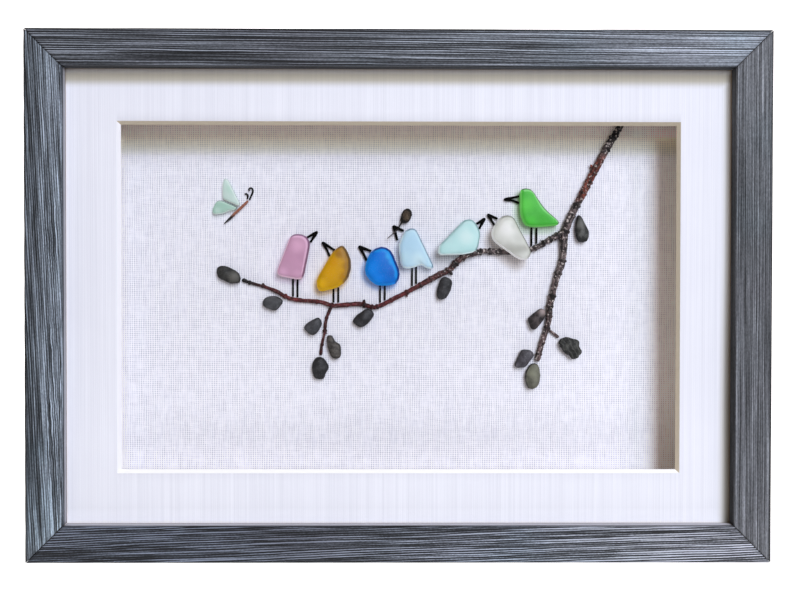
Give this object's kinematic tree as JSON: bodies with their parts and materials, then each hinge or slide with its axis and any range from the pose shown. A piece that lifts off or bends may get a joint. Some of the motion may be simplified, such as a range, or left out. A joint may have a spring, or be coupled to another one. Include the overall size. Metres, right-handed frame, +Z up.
{
  "type": "framed sea glass art",
  "caption": "Box-framed wall picture: frosted sea glass birds on a natural twig with pebble leaves and a butterfly, on a linen board behind a wide white bevelled mat.",
  "frame": {"origin": "centre of the frame's footprint, on the underside of the bottom rail", "axes": "+X to the right seen from the front, +Y from the front of the frame to its back, +Z up"},
  "size_m": [0.325, 0.033, 0.232],
  "materials": {
    "stained_wood": "brushed blue-grey stain, fine lengthwise grooves",
    "mat_card": "white, fine vertical ribs",
    "spacer_card": "plain white",
    "linen_board": "white linen texture",
    "hardboard": "smooth brown hardboard",
    "zinc_steel": "zinc plated",
    "bark": "rough dark red-brown bark with pale specks",
    "black_wire": "black, satin",
    "dried_bud": "dry, rough",
    "brown_twig": "peeled twig",
    "glass_pink": "frosted",
    "glass_amber": "frosted",
    "glass_cobalt": "frosted",
    "glass_sky": "frosted",
    "glass_aqua": "frosted",
    "glass_clear": "frosted",
    "glass_green": "frosted",
    "glass_wing_pale": "frosted",
    "glass_wing_deep": "frosted",
    "pebble_charcoal": "sea-worn",
    "pebble_slate": "sea-worn",
    "pebble_brown": "sea-worn",
    "pebble_rough": "broken, rough",
    "pebble_purple": "sea-worn",
    "pebble_olive": "sea-worn"
  },
  "bodies": {
    "root": {"frame_rail_top": "stained_wood", "frame_rail_bottom": "stained_wood", "frame_rail_left": "stained_wood", "frame_rail_right": "stained_wood", "window_mat": "mat_card", "spacer_strip_top": "spacer_card", "spacer_strip_bottom": "spacer_card", "spacer_strip_left": "spacer_card", "spacer_strip_right": "spacer_card", "backing_panel": "linen_board", "back_board": "hardboard", "sawtooth_hanger": "zinc_steel", "branch": "bark", "bird_pink_body": "glass_pink", "bird_amber_body": "glass_amber", "bird_cobalt_body": "glass_cobalt", "bird_sky_body": "glass_sky", "bird_aqua_body": "glass_aqua", "bird_clear_body": "glass_clear", "bird_green_body": "glass_green", "bird_pink_beak": "black_wire", "bird_amber_beak": "black_wire", "bird_cobalt_beak": "black_wire", "bird_sky_beak": "black_wire", "bird_aqua_beak": "black_wire", "bird_clear_beak": "black_wire", "bird_green_beak": "black_wire", "bird_pink_leg_left": "black_wire", "bird_pink_leg_right": "black_wire", "bird_amber_leg_left": "black_wire", "bird_amber_leg_right": "black_wire", "bird_cobalt_leg_left": "black_wire", "bird_cobalt_leg_right": "black_wire", "bird_sky_leg_left": "black_wire", "bird_sky_leg_right": "black_wire", "bird_green_leg_left": "black_wire", "bird_green_leg_right": "black_wire", "pebble_01": "pebble_charcoal", "pebble_02": "pebble_slate", "pebble_03": "pebble_slate", "pebble_04": "pebble_brown", "pebble_05": "pebble_charcoal", "pebble_06": "pebble_slate", "pebble_07": "pebble_slate", "pebble_08": "pebble_charcoal", "pebble_09": "pebble_brown", "pebble_10": "pebble_rough", "pebble_11": "pebble_purple", "pebble_12": "pebble_olive", "sprig": "dried_bud", "butterfly_wing_upper": "glass_wing_pale", "butterfly_wing_lower": "glass_wing_deep", "butterfly_body": "brown_twig", "butterfly_antenna_long": "black_wire", "butterfly_antenna_short": "black_wire"}
  },
  "joints": []
}
